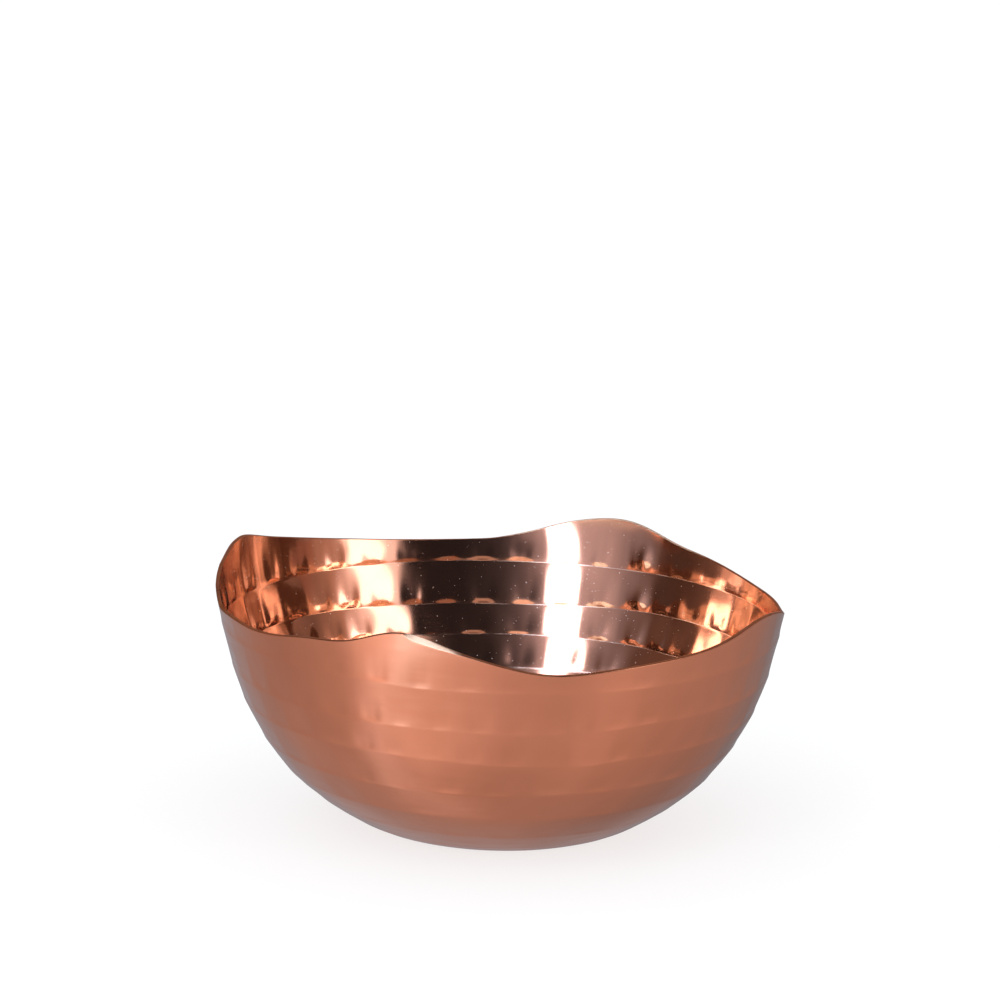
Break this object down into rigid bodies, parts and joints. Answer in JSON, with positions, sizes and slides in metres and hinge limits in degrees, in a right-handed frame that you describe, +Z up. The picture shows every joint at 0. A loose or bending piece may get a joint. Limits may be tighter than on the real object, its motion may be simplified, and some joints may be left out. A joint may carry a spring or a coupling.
{
  "type": "hammered steel bowl",
  "caption": "Small round single-wall bowl in hammered copper-finished steel, with a wavy four-cornered rim and a flat base; it holds snacks, dips, nuts or sweets.",
  "frame": {"origin": "centre of the underside of the flat base, on the surface that the bowl stands on", "axes": "+Z up along the bowl's axis; -Y towards the viewer of the picture; +X to the viewer's right"},
  "size_m": [0.1502, 0.1503, 0.0683],
  "materials": {
    "copper_finish": "copper-coloured plating on steel, mirror-polished inside and satin outside, with rows of hammer marks"
  },
  "bodies": {
    "root": {"bowl_shell": "copper_finish"}
  },
  "joints": []
}
